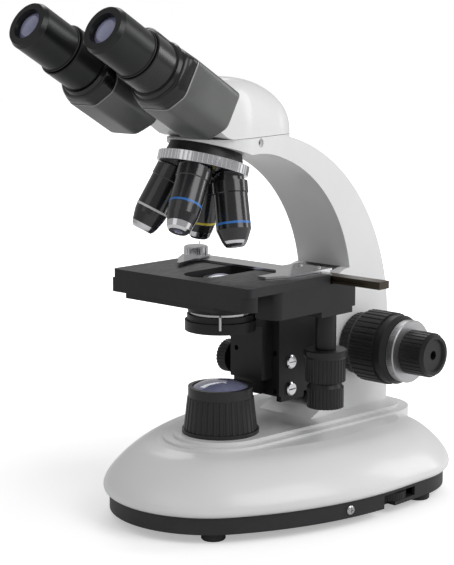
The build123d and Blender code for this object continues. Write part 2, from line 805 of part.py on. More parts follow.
def seat(phase):
    """Plane on one seat of the disc, its z along the objective and away from the disc."""
    radial = Vector(sin(radians(phase)), cos(radians(phase)), 0)
    place = turret.from_local_coords(radial * seat_ring_r)
    ahead = turret.from_local_coords(radial * (seat_ring_r + up_y) - Vector(0, 0, up_z))
    return Plane(place, z_dir=ahead - place)


phases = {"low": -31.0, "high": 59.0, "medium": 149.0, "oil": 239.0}

with BuildPart() as nosepiece_disc:
    turned(turret, [(0, -3.1), (8, -2.7), (29.5, 3.5), (29.5, mount_low - running), (0, mount_low - running)])
    fluted(turret.offset(3.6), disc_r, 60, 0.7, 6.2)
    for phase in phases.values():
        bored(seat(phase).offset(-5), 11.3, 5, Mode.ADD)
    for phase in phases.values():
        bored(seat(phase).offset(-25), thread_r + shaft_fit, 30)
    bored(turret.offset(-10), pivot_r + shaft_fit, 40)
nosepiece_disc.part.label = "nosepiece_disc"
export_step(nosepiece_disc.part, "parts/nosepiece_disc.step")

bodies = {
    "low": [(10.0, 0), (10.0, 9), (9.6, 9.6), (9.6, 28), (9.6, 31), (8.2, 36)],
    "high": [(9.8, 0), (9.8, 2.5), (11.7, 2.5), (11.7, 10), (11.1, 10.6), (11.4, 34), (8.4, 41.5)],
    "medium": [(11.2, 0), (11.2, 8), (10.7, 8.6), (10.7, 27), (10.2, 33), (8.6, 39)],
    "oil": [(11.2, 0), (11.2, 8), (10.8, 8.6), (11.0, 30), (10.6, 34), (8.8, 41)],
}
bands = {"low": 29.0, "high": 29.5, "medium": 25.0, "oil": 29.0}
band_width = 1.5
band_proud = 0.12
tips = {"low": 41.0, "high": 45.0, "medium": 44.5, "oil": 45.0}


def width_at(outline, height):
    """Radius of an outline of (radius, height) points at a height."""
    for (r0, h0), (r1, h1) in zip(outline, outline[1:]):
        if h0 <= height <= h1 and h1 > h0:
            return r0 + (r1 - r0) * (height - h0) / (h1 - h0)
    return outline[-1][0]


def barrel(name):
    """Body of one objective, screwed in its seat, with a groove for its band."""
    outline = bodies[name]
    base = seat(phases[name])
    low = bands[name]
    neck = outline[-1][1]
    turned(base, [(6, -4), (thread_r, -4), (thread_r, 0), *outline, (6, neck)])
    r_low = width_at(outline, low) + 1
    turned(base, [(r_low - 1.5, low), (r_low, low), (r_low, low + band_width), (r_low - 1.5, low + band_width)], Mode.SUBTRACT)


with BuildPart() as objective_low:
    barrel("low")
objective_low.part.label = "objective_low"
export_step(objective_low.part, "parts/objective_low.step")

with BuildPart() as objective_medium:
    barrel("medium")
objective_medium.part.label = "objective_medium"
export_step(objective_medium.part, "parts/objective_medium.step")

with BuildPart() as objective_high:
    barrel("high")
objective_high.part.label = "objective_high"
export_step(objective_high.part, "parts/objective_high.step")

with BuildPart() as objective_oil:
    barrel("oil")
objective_oil.part.label = "objective_oil"
export_step(objective_oil.part, "parts/objective_oil.step")


def band(name):
    """Colour band of one objective, seated in its groove."""
    low = bands[name]
    r = width_at(bodies[name], low)
    turned(
        seat(phases[name]),
        [(r - 0.5, low), (r + band_proud, low), (r + band_proud, low + band_width), (r - 0.5, low + band_width)],
    )


with BuildPart() as yellow_band:
    band("low")
yellow_band.part.label = "yellow_band"
export_step(yellow_band.part, "parts/yellow_band.step")

with BuildPart() as blue_bands:
    band("medium")
    band("high")
blue_bands.part.label = "blue_bands"
export_step(blue_bands.part, "parts/blue_bands.step")

with BuildPart() as white_band:
    band("oil")
white_band.part.label = "white_band"
export_step(white_band.part, "parts/white_band.step")

with BuildPart() as objective_noses:
    for name, outline in bodies.items():
        neck_r, neck = outline[-1]
        tip = tips[name]
        turned(
            seat(phases[name]),
            [(3, neck), (neck_r, neck), (neck_r - 1, tip - 1.6), (neck_r - 2.4, tip), (3, tip)],
        )
objective_noses.part.label = "objective_noses"
export_step(objective_noses.part, "parts/objective_noses.step")

with BuildPart() as objective_lenses:
    for name, tip in tips.items():
        turned(seat(phases[name]), [(0, tip - 2.4), (3, tip - 2.4), (3, tip - 0.4), (0, tip - 0.4)])
objective_lenses.part.label = "objective_lenses"
export_step(objective_lenses.part, "parts/objective_lenses.step")

# Binocular head


def eye(x, s):
    """Plane across the eyepiece tubes, s inwards from the right rim, with its z out to the user."""
    y = rim_y + s * cos(radians(eye_slope))
    z = rim_z - s * sin(radians(eye_slope))
    return Plane(
        (x, axis_y + y, z),
        x_dir=(1, 0, 0),
        z_dir=(0, -cos(radians(eye_slope)), sin(radians(eye_slope))),
    )


def fold(s):
    """Plane across the folding axis of the two housings."""
    base = eye(0, s)
    return Plane(base.from_local_coords((0, hinge_up, 0)), x_dir=base.x_dir, z_dir=base.z_dir)


face_plane = eye(0, housing_end + 0.4)
crown_low = seam_z + running

with BuildPart() as head_base:
    with BuildSketch(level(crown_low)):
        crown_plan()
    extrude(amount=45)
    with BuildSketch(side(-40)):
        with BuildLine():
            Polyline((57, crown_low), (57, crown_low + 1))
            ThreePointArc((57, crown_low + 1), (33, 283), (-12, 295.5))
            Polyline((-12, 295.5), (-45, 295.5), (-45, crown_low), (57, crown_low))
        make_face()
    extrude(amount=80, mode=Mode.INTERSECT)
    split(bisect_by=face_plane, keep=Keep.BOTTOM)
    bored(level(socket_z + running), socket_r - running, crown_low - socket_z, Mode.ADD)
    bored(level(socket_z), 9, 26)
head_base.part.label = "head_base"
export_step(head_base.part, "parts/head_base.step")

with BuildPart() as hinge_barrel:
    bored(fold(housing_end + 0.4), hinge_r, housing_end - 48, Mode.ADD)
    bored(fold(housing_end + 0.4), 13, 6, Mode.ADD)
    bored(fold(50.6), 12, 4, Mode.ADD)
hinge_barrel.part.label = "hinge_barrel"
export_step(hinge_barrel.part, "parts/hinge_barrel.step")


fold_low = 262.0  # over the arm's nose, for the folding
turn_low = seam_z + 1.1  # over the arm's crown, for the turn of the whole head


def housing_section(way):
    """Section of one housing across its tube, cut away round the folding axis."""
    with BuildLine() as outline:
        points = [(9.5, -21.5), (44, -21.5), (53.5, -12), (53.5, 12), (44, 21.5), (8, 21.5), (2.6, 5)]
        Polyline(*[(way * x, y) for x, y in points], close=True)
    make_face(outline.edges())
    with Locations((0, hinge_up)):
        Circle(knuckle_r + 0.4, mode=Mode.SUBTRACT)


def housing(way, knuckle_start, knuckle_end):
    """Rear housing of one tube with its knuckle on the folding axis."""
    with BuildSketch(eye(0, housing_end)) as section:
        housing_section(way)
    extrude(section.sketch, amount=housing_end - cap_end)
    # bevel under the rear end
    with BuildSketch(side(-60)) as bevel:
        with BuildLine():
            Polyline(
                (-130, 400), (60, 400), (60, fold_low), (-36, fold_low), (-47, turn_low), (-60, turn_low),
                (-130, 180), close=True,
            )
        make_face()
    extrude(bevel.sketch, amount=120, mode=Mode.INTERSECT)
    length = knuckle_end - knuckle_start
    bored(fold(knuckle_end), knuckle_r, length, Mode.ADD)
    with BuildSketch(eye(0, knuckle_end)) as web:
        with Locations((way * 14, 14)):
            Rectangle(14, 14)
    extrude(web.sketch, amount=length)
    bored(fold(knuckle_end + 1), hinge_r + running, length + 2)
    bored(eye(way * eye_x, 100), 10, 40)


def cap(way):
    """Front cap of one housing."""
    with BuildSketch(eye(0, cap_end)) as section:
        housing_section(way)
    extrude(section.sketch, amount=cap_end - cap_start)


with BuildPart() as housing_right:
    housing(1, 80, 99.8)
housing_right.part.label = "housing_right"
export_step(housing_right.part, "parts/housing_right.step")

with BuildPart() as housing_left:
    housing(-1, 100.2, 118.2)
housing_left.part.label = "housing_left"
export_step(housing_left.part, "parts/housing_left.step")

with BuildPart() as tube_right:
    cap(1)
    turned(eye(eye_x, cap_start), [(0, 0), (19.5, 0), (18.6, 2.2), (barrel_r, 2.6), (barrel_r, 19.7), (0, 19.7)])
    bored(eye(eye_x, cap_end), 10, 60)
    bored(eye(eye_x, 58), spigot_r + shaft_fit, 40)
tube_right.part.label = "tube_right"
export_step(tube_right.part, "parts/tube_right.step")

with BuildPart() as tube_left:
    cap(-1)
    turned(eye(-eye_x, cap_start), [(0, 0), (19.5, 0), (18.6, 2.2), (13, 2.2), (13, 23.7), (0, 23.7)])
    bored(eye(-eye_x, cap_end), 10, 60)
    bored(eye(-eye_x, 54), spigot_r + shaft_fit, 40)
tube_left.part.label = "tube_left"
export_step(tube_left.part, "parts/tube_left.step")

with BuildPart() as diopter_ring:
    turned(
        eye(-eye_x, cap_start),
        [(13 + shaft_fit, 2.5), (barrel_r, 2.5), (barrel_r, 23.2), (barrel_r - 0.6, 23.7), (13 + shaft_fit, 23.7)],
    )
diopter_ring.part.label = "diopter_ring"
export_step(diopter_ring.part, "parts/diopter_ring.step")

ocular = [(9.5, 0), (spigot_r, 0), (spigot_r, 25), (eyepiece_r, 25), (eyepiece_r, 53), (eyepiece_r - 1.4, 56), (10, 56), (9.5, 53)]

with BuildPart() as eyepiece_right:
    turned(eye(eye_x, 56), ocular)
eyepiece_right.part.label = "eyepiece_right"
export_step(eyepiece_right.part, "parts/eyepiece_right.step")

with BuildPart() as eyepiece_left:
    turned(eye(-eye_x, 56 - diopter_out), ocular)
eyepiece_left.part.label = "eyepiece_left"
export_step(eyepiece_left.part, "parts/eyepiece_left.step")

ocular_lens = [(0, 46), (9.5, 46), (9.5, 52), (7, 53.4), (0, 54.2)]

with BuildPart() as eye_lens_right:
    turned(eye(eye_x, 56), ocular_lens)
eye_lens_right.part.label = "eye_lens_right"
export_step(eye_lens_right.part, "parts/eye_lens_right.step")

with BuildPart() as eye_lens_left:
    turned(eye(-eye_x, 56 - diopter_out), ocular_lens)
eye_lens_left.part.label = "eye_lens_left"
export_step(eye_lens_left.part, "parts/eye_lens_left.step")
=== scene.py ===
"""Looks of the compound microscope: finishes for every piece, fine trim, studio, camera."""

import json
import math

import bpy
import numpy as np
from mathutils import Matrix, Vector


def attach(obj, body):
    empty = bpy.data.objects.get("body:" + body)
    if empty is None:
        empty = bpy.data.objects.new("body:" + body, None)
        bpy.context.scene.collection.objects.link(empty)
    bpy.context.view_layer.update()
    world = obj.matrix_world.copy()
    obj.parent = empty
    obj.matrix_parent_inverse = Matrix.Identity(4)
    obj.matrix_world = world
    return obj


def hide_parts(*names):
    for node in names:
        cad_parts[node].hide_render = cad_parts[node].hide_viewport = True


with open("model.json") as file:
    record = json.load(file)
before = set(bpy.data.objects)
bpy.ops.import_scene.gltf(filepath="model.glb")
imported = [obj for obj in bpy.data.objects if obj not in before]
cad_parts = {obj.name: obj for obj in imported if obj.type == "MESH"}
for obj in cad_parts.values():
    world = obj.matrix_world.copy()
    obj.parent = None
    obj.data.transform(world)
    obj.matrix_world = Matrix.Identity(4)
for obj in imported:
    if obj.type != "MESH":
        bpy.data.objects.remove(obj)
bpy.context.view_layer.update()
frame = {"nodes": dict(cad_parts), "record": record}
nodes = frame["nodes"]

MM = 0.001
AXIS_Y = -12.0 * MM  # the optical axis stands this far in front of the row's origin


# Node tools


def new_group(name, inputs, outputs):
    """Empty shader group with named inputs, given with their values, and named outputs."""
    group = bpy.data.node_groups.new(name, "ShaderNodeTree")
    for label, kind, value in inputs:
        socket = group.interface.new_socket(name=label, in_out="INPUT", socket_type=kind)
        socket.default_value = value
    for label, kind in outputs:
        group.interface.new_socket(name=label, in_out="OUTPUT", socket_type=kind)
    return group, group.nodes.new("NodeGroupInput"), group.nodes.new("NodeGroupOutput")


def math_node(tree, operation, a, b):
    """Math node between two sockets or values."""
    node = tree.nodes.new("ShaderNodeMath")
    node.operation = operation
    for slot, value in enumerate((a, b)):
        if hasattr(value, "is_linked"):
            tree.links.new(value, node.inputs[slot])
        else:
            node.inputs[slot].default_value = value
    return node.outputs[0]


def noise(tree, vector, scale, detail, roughness=0.55):
    """Noise texture on a vector."""
    node = tree.nodes.new("ShaderNodeTexNoise")
    tree.links.new(vector, node.inputs["Vector"])
    if hasattr(scale, "is_linked"):
        tree.links.new(scale, node.inputs["Scale"])
    else:
        node.inputs["Scale"].default_value = scale
    node.inputs["Detail"].default_value = detail
    node.inputs["Roughness"].default_value = roughness
    return node.outputs["Fac"]


def spread(tree, value, low, high):
    """Maps a value near the middle of a noise to a range between two sockets or values."""
    node = tree.nodes.new("ShaderNodeMapRange")
    node.inputs["From Min"].default_value = 0.3
    node.inputs["From Max"].default_value = 0.7
    tree.links.new(value, node.inputs["Value"])
    for name, limit in (("To Min", low), ("To Max", high)):
        if hasattr(limit, "is_linked"):
            tree.links.new(limit, node.inputs[name])
        else:
            node.inputs[name].default_value = limit
    return node.outputs["Result"]


def blend_colours(tree, amount, first, second):
    """Mixes two colours, given as sockets, by an amount."""
    node = tree.nodes.new("ShaderNodeMix")
    node.data_type = "RGBA"
    tree.links.new(amount, node.inputs["Factor"])
    for name, colour in (("A", first), ("B", second)):
        socket = [s for s in node.inputs if s.name == name and s.type == "RGBA"][0]
        tree.links.new(colour, socket)
    return [s for s in node.outputs if s.type == "RGBA"][0]


def make_coating():
    """Shared group: slow drift of a coat's colour and gloss, with a fine grain in its height."""
    group, given, out = new_group(
        "coating",
        [
            ("Colour", "NodeSocketColor", (0.8, 0.8, 0.8, 1)),
            ("Dusty", "NodeSocketColor", (0.7, 0.7, 0.7, 1)),
            ("Drift Scale", "NodeSocketFloat", 30.0),
            ("Grain Scale", "NodeSocketFloat", 1500.0),
            ("Gloss Low", "NodeSocketFloat", 0.3),
            ("Gloss High", "NodeSocketFloat", 0.4),
        ],
        [("Colour", "NodeSocketColor"), ("Roughness", "NodeSocketFloat"), ("Height", "NodeSocketFloat")],
    )
    place = group.nodes.new("ShaderNodeTexCoord").outputs["Object"]
    drift = noise(group, place, given.outputs["Drift Scale"], 5)
    grain = noise(group, place, given.outputs["Grain Scale"], 2)
    patch = spread(group, drift, 0.0, 1.0)
    group.links.new(
        blend_colours(group, patch, given.outputs["Colour"], given.outputs["Dusty"]), out.inputs["Colour"]
    )
    rough = spread(group, drift, given.outputs["Gloss Low"], given.outputs["Gloss High"])
    group.links.new(rough, out.inputs["Roughness"])
    group.links.new(grain, out.inputs["Height"])
    return group


def make_scuffs():
    """Shared group: thin stretched scratches, put out as a mask that varies over the surface."""
    group, given, out = new_group(
        "scuffs", [("Density", "NodeSocketFloat", 0.5)], [("Mask", "NodeSocketFloat")]
    )
    coordinates = group.nodes.new("ShaderNodeTexCoord")
    mapping = group.nodes.new("ShaderNodeMapping")
    mapping.inputs["Scale"].default_value = (900, 90, 240)
    mapping.inputs["Rotation"].default_value = (0.4, 0.7, 0.3)
    group.links.new(coordinates.outputs["Object"], mapping.inputs["Vector"])
    streak = noise(group, mapping.outputs["Vector"], 1.0, 3)
    patch = noise(group, coordinates.outputs["Object"], 25.0, 2)
    sharp = spread(group, streak, -2.4, 1.0)
    soft = math_node(group, "MULTIPLY", patch, given.outputs["Density"])
    group.links.new(math_node(group, "MULTIPLY", sharp, soft), out.inputs["Mask"])
    return group


coating = make_coating()
scuffs = make_scuffs()


def finish(
    name, colour, dusty, gloss, grain, bump, metallic=0.0, coat=0.0, drift=30.0, scuffed=0.0, specular=0.5
):
    """Material of one finish: drifting colour and gloss, a fine grain, and light scuffs."""
    material = bpy.data.materials.new(name)
    material.use_nodes = True
    tree = material.node_tree
    shader = tree.nodes["Principled BSDF"]
    shader.inputs["Metallic"].default_value = metallic
    shader.inputs["Specular IOR Level"].default_value = specular
    shader.inputs["Coat Weight"].default_value = coat
    shader.inputs["Coat Roughness"].default_value = 0.12
    coat_node = tree.nodes.new("ShaderNodeGroup")
    coat_node.node_tree = coating
    coat_node.inputs["Colour"].default_value = (*colour, 1)
    coat_node.inputs["Dusty"].default_value = (*dusty, 1)
    coat_node.inputs["Drift Scale"].default_value = drift
    coat_node.inputs["Grain Scale"].default_value = grain
    coat_node.inputs["Gloss Low"].default_value = gloss[0]
    coat_node.inputs["Gloss High"].default_value = gloss[1]
    tree.links.new(coat_node.outputs["Colour"], shader.inputs["Base Color"])
    rough = coat_node.outputs["Roughness"]
    if scuffed:
        scuff_node = tree.nodes.new("ShaderNodeGroup")
        scuff_node.node_tree = scuffs
        scuff_node.inputs["Density"].default_value = scuffed
        rough = math_node(tree, "ADD", rough, scuff_node.outputs["Mask"])
    tree.links.new(rough, shader.inputs["Roughness"])
    height = tree.nodes.new("ShaderNodeBump")
    height.inputs["Strength"].default_value = bump
    height.inputs["Distance"].default_value = 0.0002
    tree.links.new(coat_node.outputs["Height"], height.inputs["Height"])
    tree.links.new(height.outputs["Normal"], shader.inputs["Normal"])
    return material


# Finishes


def white_enamel():
    """Baked light enamel on the cast base, arm and head base, with a faint orange peel."""
    return finish(
        "white_enamel",
        colour=(0.78, 0.78, 0.785),
        dusty=(0.755, 0.755, 0.76),
        gloss=(0.30, 0.38),
        grain=700,
        bump=0.05,
        coat=0.25,
        drift=18,
    )


def tray_plastic():
    """Dark grey moulded tray with a spark-eroded grain."""
    return finish(
        "tray_plastic",
        colour=(0.020, 0.020, 0.022),
        dusty=(0.03, 0.03, 0.032),
        gloss=(0.45, 0.55),
        grain=2500,
        bump=0.35,
        specular=0.3,
    )


def lamp_plastic():
    """Black ribbed lamp housing with a soft shine."""
    return finish(
        "lamp_plastic",
        colour=(0.012, 0.012, 0.013),
        dusty=(0.02, 0.02, 0.021),
        gloss=(0.32, 0.42),
        grain=2200,
        bump=0.18,
        specular=0.4,
    )


def knob_plastic():
    """Black moulded knobs, a little shiny on the ribs."""
    return finish(
        "knob_plastic",
        colour=(0.010, 0.010, 0.011),
        dusty=(0.018, 0.018, 0.019),
        gloss=(0.34, 0.46),
        grain=2400,
        bump=0.2,
        specular=0.35,
    )


def stage_coat():
    """Matt black stage with a dry, finely blasted surface."""
    return finish(
        "stage_coat",
        colour=(0.010, 0.010, 0.012),
        dusty=(0.017, 0.017, 0.019),
        gloss=(0.42, 0.52),
        grain=3500,
        bump=0.3,
        scuffed=0.08,
        specular=0.35,
    )


def bracket_coat():
    """Black powder coat of the bracket, slide and condenser."""
    return finish(
        "bracket_coat",
        colour=(0.010, 0.010, 0.011),
        dusty=(0.016, 0.016, 0.017),
        gloss=(0.34, 0.44),
        grain=1800,
        bump=0.2,
        specular=0.3,
    )


def head_metallic():
    """Dark metallic paint of the tube housings."""
    return finish(
        "head_metallic",
        colour=(0.105, 0.11, 0.107),
        dusty=(0.13, 0.135, 0.13),
        gloss=(0.34, 0.42),
        grain=4500,
        bump=0.25,
        metallic=0.5,
        coat=0.15,
    )


def cap_gloss():
    """Smooth black front caps of the housings."""
    return finish(
        "cap_gloss",
        colour=(0.005, 0.005, 0.0055),
        dusty=(0.009, 0.009, 0.0095),
        gloss=(0.22, 0.30),
        grain=1200,
        bump=0.06,
        coat=0.2,
        specular=0.4,
    )


def eyepiece_anodised():
    """Black anodised eyepieces and dioptre ring, with turned shine."""
    return finish(
        "eyepiece_anodised",
        colour=(0.020, 0.021, 0.021),
        dusty=(0.030, 0.031, 0.031),
        gloss=(0.26, 0.36),
        grain=2600,
        bump=0.12,
        metallic=0.7,
    )


def objective_anodised():
    """Black anodised barrels of the objectives."""
    return finish(
        "objective_anodised",
        colour=(0.014, 0.014, 0.016),
        dusty=(0.026, 0.026, 0.029),
        gloss=(0.16, 0.24),
        grain=2600,
        bump=0.06,
        metallic=0.4,
        coat=0.5,
    )


def chrome_plate():
    """Bright chrome with faint handling marks."""
    return finish(
        "chrome_plate",
        colour=(0.74, 0.74, 0.76),
        dusty=(0.66, 0.66, 0.68),
        gloss=(0.10, 0.18),
        grain=900,
        bump=0.03,
        metallic=1,
        scuffed=0.1,
    )


def bright_steel():
    """Bright steel screws, shafts and rods."""
    return finish(
        "bright_steel",
        colour=(0.56, 0.56, 0.57),
        dusty=(0.46, 0.46, 0.47),
        gloss=(0.22, 0.34),
        grain=3000,
        bump=0.15,
        metallic=1,
    )


def scale_alloy():
    """Satin alloy of the graduated rings and the lamp board."""
    return finish(
        "scale_alloy",
        colour=(0.52, 0.52, 0.53),
        dusty=(0.44, 0.44, 0.45),
        gloss=(0.30, 0.42),
        grain=3200,
        bump=0.2,
        metallic=1,
    )


def bush_bronze():
    """Turned bronze of the shaft bushes."""
    return finish(
        "bush_bronze",
        colour=(0.52, 0.36, 0.16),
        dusty=(0.42, 0.28, 0.12),
        gloss=(0.28, 0.38),
        grain=3000,
        bump=0.15,
        metallic=1,
    )


def rack_metal():
    """Dark browned metal of the rack bar."""
    return finish(
        "rack_metal",
        colour=(0.085, 0.068, 0.048),
        dusty=(0.055, 0.046, 0.036),
        gloss=(0.30, 0.42),
        grain=2800,
        bump=0.2,
        metallic=0.8,
    )


def foot_rubber():
    """Matt rubber of the feet."""
    return finish(
        "foot_rubber",
        colour=(0.018, 0.018, 0.018),
        dusty=(0.03, 0.03, 0.03),
        gloss=(0.75, 0.85),
        grain=2500,
        bump=0.4,
    )


def band_paint(name, colour):
    """Enamel of one colour band."""
    darker = tuple(0.85 * value for value in colour)
    return finish(
        name,
        colour=colour,
        dusty=darker,
        gloss=(0.25, 0.33),
        grain=2500,
        bump=0.06,
    )


def coated_glass():
    """Lens surface with a bluish bloom whose tone drifts from place to place."""
    return finish(
        "coated_glass",
        colour=(0.15, 0.16, 0.28),
        dusty=(0.30, 0.31, 0.46),
        gloss=(0.05, 0.08),
        grain=500,
        bump=0.01,
        coat=1.0,
        drift=60,
    )


SLOT_FINISHES = {
    "white_paint": white_enamel(),
    "black_tray_plastic": tray_plastic(),
    "black_lamp_plastic": lamp_plastic(),
    "stage_black": stage_coat(),
    "bracket_black": bracket_coat(),
    "knob_black": knob_plastic(),
    "head_grey": head_metallic(),
    "cap_black": cap_gloss(),
    "eyepiece_black": eyepiece_anodised(),
    "objective_black": objective_anodised(),
    "chrome": chrome_plate(),
    "steel": bright_steel(),
    "scale_silver": scale_alloy(),
    "brass": bush_bronze(),
    "rubber": foot_rubber(),
    "lens_glass": coated_glass(),
    "yellow_paint": band_paint("yellow_enamel", (0.72, 0.60, 0.03)),
    "blue_paint": band_paint("blue_enamel", (0.03, 0.18, 0.55)),
    "band_white": band_paint("pale_enamel", (0.75, 0.75, 0.75)),
    "rack_bronze": rack_metal(),
}


def dress_frame():
    """Gives every carried-over node the finish of its slot."""
    slot_of = {row["node"]: row["material_slot"] for row in frame["record"]["subparts"]}
    for name, piece in nodes.items():
        piece.data.materials.clear()
        piece.data.materials.append(SLOT_FINISHES[slot_of[name]])


dress_frame()


# Fine pieces that the eye sees on the real instrument


def mesh_object(name, body, finish_used, points, faces):
    """Object from whole arrays of points and quads, riding one body of the frame."""
    mesh = bpy.data.meshes.new(name)
    mesh.from_pydata(points.tolist(), [], faces.tolist())
    mesh.polygons.foreach_set("use_smooth", np.ones(len(faces), dtype=bool))
    mesh.materials.append(finish_used)
    piece = bpy.data.objects.new(name, mesh)
    bpy.context.scene.collection.objects.link(piece)
    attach(piece, body)
    return piece


def closed_grid(rows, columns):
    """Quads of a grid that closes on itself both ways."""
    i, j = np.meshgrid(np.arange(rows), np.arange(columns), indexing="ij")
    after_i = (i + 1) % rows
    after_j = (j + 1) % columns
    corners = (i * columns + j, i * columns + after_j, after_i * columns + after_j, after_i * columns + j)
    return np.stack(corners, axis=-1).reshape(-1, 4)


def turned_ring(name, body, finish_used, place, axis, outline, count=128):
    """Ring turned about an axis.

    P(u, v) = place + r(v) (cos u * a + sin u * b) + h(v) * axis, with (r, h) running round a closed
    outline given in millimetres, clockwise when r points right and h up.
    """
    axis = np.array(axis, dtype=float)
    axis /= np.linalg.norm(axis)
    side_a = np.cross(axis, (0.3, 0.9, 0.2))
    side_a /= np.linalg.norm(side_a)
    side_b = np.cross(axis, side_a)
    outline = np.array(outline) * MM
    angle = np.linspace(0, 2 * np.pi, count, endpoint=False)[:, None, None]
    around = np.cos(angle) * side_a + np.sin(angle) * side_b
    points = np.array(place) + outline[None, :, 0:1] * around + outline[None, :, 1:2] * axis
    return mesh_object(name, body, finish_used, points.reshape(-1, 3), closed_grid(count, len(outline)))


EYE_SLOPE = math.radians(30)
EYE_OUT = np.array((0, -math.cos(EYE_SLOPE), math.sin(EYE_SLOPE)))
EYE_UP = np.array((0, math.sin(EYE_SLOPE), math.cos(EYE_SLOPE)))
RIM = np.array((0, -133 * MM + AXIS_Y, 327 * MM))
EYE_X = 31.7 * MM
DIOPTER_OUT = 4.4


def eye_place(x, s):
    """Point on the plane across the tubes, s millimetres inwards from the right rim."""
    return RIM + np.array((x, 0, 0)) - s * MM * EYE_OUT


def bead(r, height, thick):
    """Outline of a half-round bead standing on a radius, clockwise."""
    turn = np.linspace(np.pi / 2, -np.pi / 2, 9)
    curve = np.stack((r + thick * np.cos(turn), height + thick * np.sin(turn)), axis=1)
    inner = [(r - 0.4, height - thick), (r - 0.4, height + thick)]
    return [*curve.tolist(), *inner]


def shell(name, body, finish_used, rings):
    """Closed surface through rings of points, an array (ring, place on the ring, 3), faces outward."""
    rows, columns = rings.shape[:2]
    end_centres = rings[[0, -1]].mean(axis=1)
    points = np.concatenate((rings.reshape(-1, 3), end_centres))
    quads = closed_grid(rows, columns)[: (rows - 1) * columns]
    around = np.arange(columns)
    after = (around + 1) % columns
    first, last = rows * columns, rows * columns + 1
    start_fan = np.stack((np.full(columns, first), after, around), axis=1)
    base = (rows - 1) * columns
    end_fan = np.stack((np.full(columns, last), base + around, base + after), axis=1)
    sides = points[np.concatenate((quads[:, (0, 1, 2)], quads[:, (0, 2, 3)], start_fan, end_fan))]
    volume = np.einsum("ij,ij->i", sides[:, 0], np.cross(sides[:, 1], sides[:, 2])).sum()
    way = slice(None, None, 1 if volume > 0 else -1)
    faces = [*quads[:, way].tolist(), *start_fan[:, way].tolist(), *end_fan[:, way].tolist()]
    mesh = bpy.data.meshes.new(name)
    mesh.from_pydata(points.tolist(), [], faces)
    mesh.polygons.foreach_set("use_smooth", np.ones(len(faces), dtype=bool))
    mesh.set_sharp_from_angle(angle=math.radians(38))
    mesh.materials.append(finish_used)
    piece = bpy.data.objects.new(name, mesh)
    bpy.context.scene.collection.objects.link(piece)
    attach(piece, body)
    return piece


AROUND = 120
TUBE_TURN = np.linspace(0, 2 * np.pi, AROUND, endpoint=False)
HOUSING_SIDES = [
    (0, 21.8), (67, 19.6), (100, 21.0), (150, 17.2), (180, 21.6), (225, 23.2), (270, 21.8), (315, 24.0)
]
CAP_R = 23.4
TRIM_S = 60.5
HOUSING_BACK = 104.0
FACE_S = 51.0


def housing_radius():
    """Radius of the housing's section about its tube: flats at distances h_i facing angles a_i,
    with rounded corners, r(t) = (sum of (cos(t - a_i) / h_i)^k)^(-1/k) over the flats in view."""
    sides = np.array(HOUSING_SIDES)
    facing = np.cos(TUBE_TURN[:, None] - np.radians(sides[None, :, 0])) / sides[None, :, 1]
    power = 30.0
    return (np.maximum(facing, 0) ** power).sum(axis=1) ** (-1 / power)


def narrowed(radius, limit):
    """Radius kept under a limit with a soft corner between the two."""
    power = 14.0
    return (radius**-power + limit**-power) ** (-1 / power)


def tube_ring(way, s, radius, lean=0.0):
    """Ring about one tube at depth s; lean draws its low side forward by lean * (p / 21)^2."""
    across = radius * np.cos(TUBE_TURN)
    up = radius * np.sin(TUBE_TURN)
    depth = s - lean * np.clip(-(up + 6) / 15, 0, None) ** 2
    x = way * (EYE_X / MM + across)
    flat = np.stack((x, np.zeros(AROUND), np.zeros(AROUND)), axis=1) * MM
    return RIM + flat + up[:, None] * MM * EYE_UP - depth[:, None] * MM * EYE_OUT


def tube_housings():
    """Painted rear housings: the section swept along the tube, its back edge rounded off."""
    section = housing_radius()
    stations = [(TRIM_S, 0.975, 0), (TRIM_S + 0.5, 0.995, 0), (TRIM_S + 1, 1, 0), (80, 1, 0.2)]
    curve = np.linspace(0, np.pi / 2, 7)
    stations += [(HOUSING_BACK - 3 * (1 - math.sin(a)), 1 - 0.13 * (1 - math.cos(a)), 2.4) for a in curve]
    for label, way in (("right", 1), ("left", -1)):
        rings = np.stack([tube_ring(way, s, section * part, lean) for s, part, lean in stations])
        housing = shell("tube_housing_" + label, label + "_side", SLOT_FINISHES["head_grey"], rings)
        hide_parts("housing_" + label)


def front_caps():
    """Gloss caps that pass from the housing's section to a round collar, with the tube in front."""
    section = housing_radius()
    collar = [(48.8, 18.6), (48.4, 17.3), (31.9, 17.3), (31.4, 16.8), (31.4, 12.0)]
    sleeve = [(48.8, 18.6), (48.6, 13.0), (27.4, 13.0), (27.3, 12.0)]
    for label, way, front in (("right", 1, collar), ("left", -1, sleeve)):
        rings = []
        for s in np.linspace(TRIM_S - 0.15, FACE_S + 3, 8):
            share = (TRIM_S - s) / (TRIM_S - FACE_S - 3)
            rings.append(tube_ring(way, s, 0.985 * narrowed(section, 31.0 + share * (CAP_R - 31.0))))
        for a in np.linspace(0.3, np.pi / 2, 6):
            r = 0.985 * narrowed(section, CAP_R) - 2.6 * (1 - math.cos(a))
            rings.append(tube_ring(way, FACE_S + 3 * (1 - math.sin(a)), np.maximum(r, 16.8)))
        rings.append(tube_ring(way, FACE_S, np.full(AROUND, 19.6)))
        rings += [tube_ring(way, s, np.full(AROUND, r)) for s, r in front]
        cap = shell("front_cap_" + label, label + "_side", SLOT_FINISHES["cap_black"], np.stack(rings))
        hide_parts("tube_" + label)


HINGE_UP = 16.0
HINGE_COVER_R = 17.6


